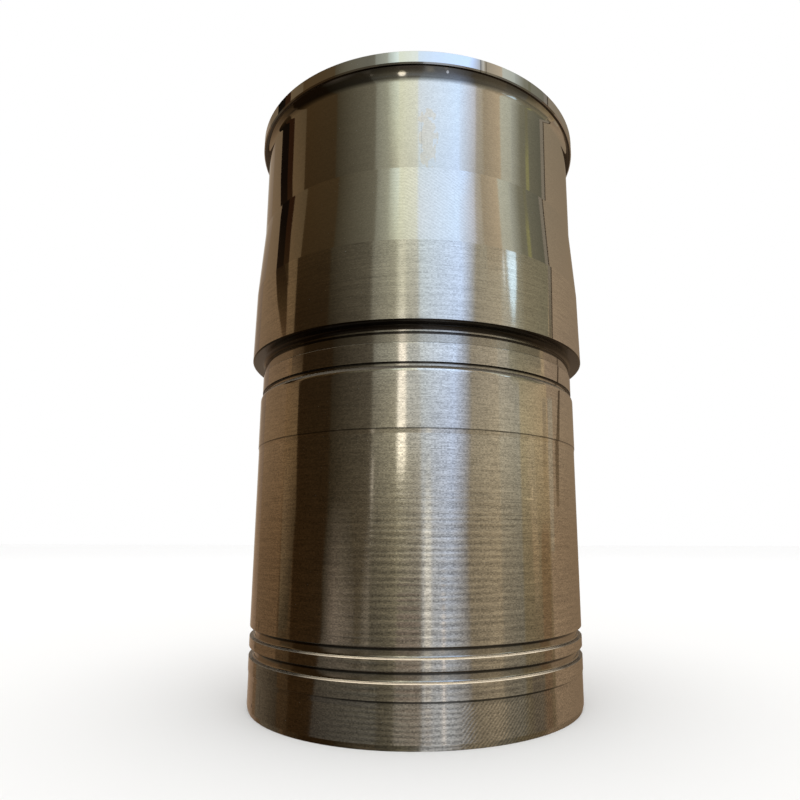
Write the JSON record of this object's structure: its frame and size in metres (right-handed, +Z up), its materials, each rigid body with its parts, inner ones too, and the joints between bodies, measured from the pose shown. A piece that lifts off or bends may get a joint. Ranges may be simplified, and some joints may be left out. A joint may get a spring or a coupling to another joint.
{
  "type": "cylinder liner",
  "caption": "Wet cylinder liner turned from cast iron, with a top flange, a mid-stop seat, a press-fit pilot and empty seal grooves near its foot.",
  "frame": {"origin": "centre of the lower end face, on the bore's axis", "axes": "+Z up the bore's axis, from the foot to the flange; the liner stands on its foot as pictured"},
  "size_m": [0.1592, 0.1592, 0.2673],
  "materials": {
    "turned_iron": "fine-turned outside under a thin rust-preventive film, honed bore"
  },
  "bodies": {
    "root": {"cylinder_liner": "turned_iron"}
  },
  "joints": []
}
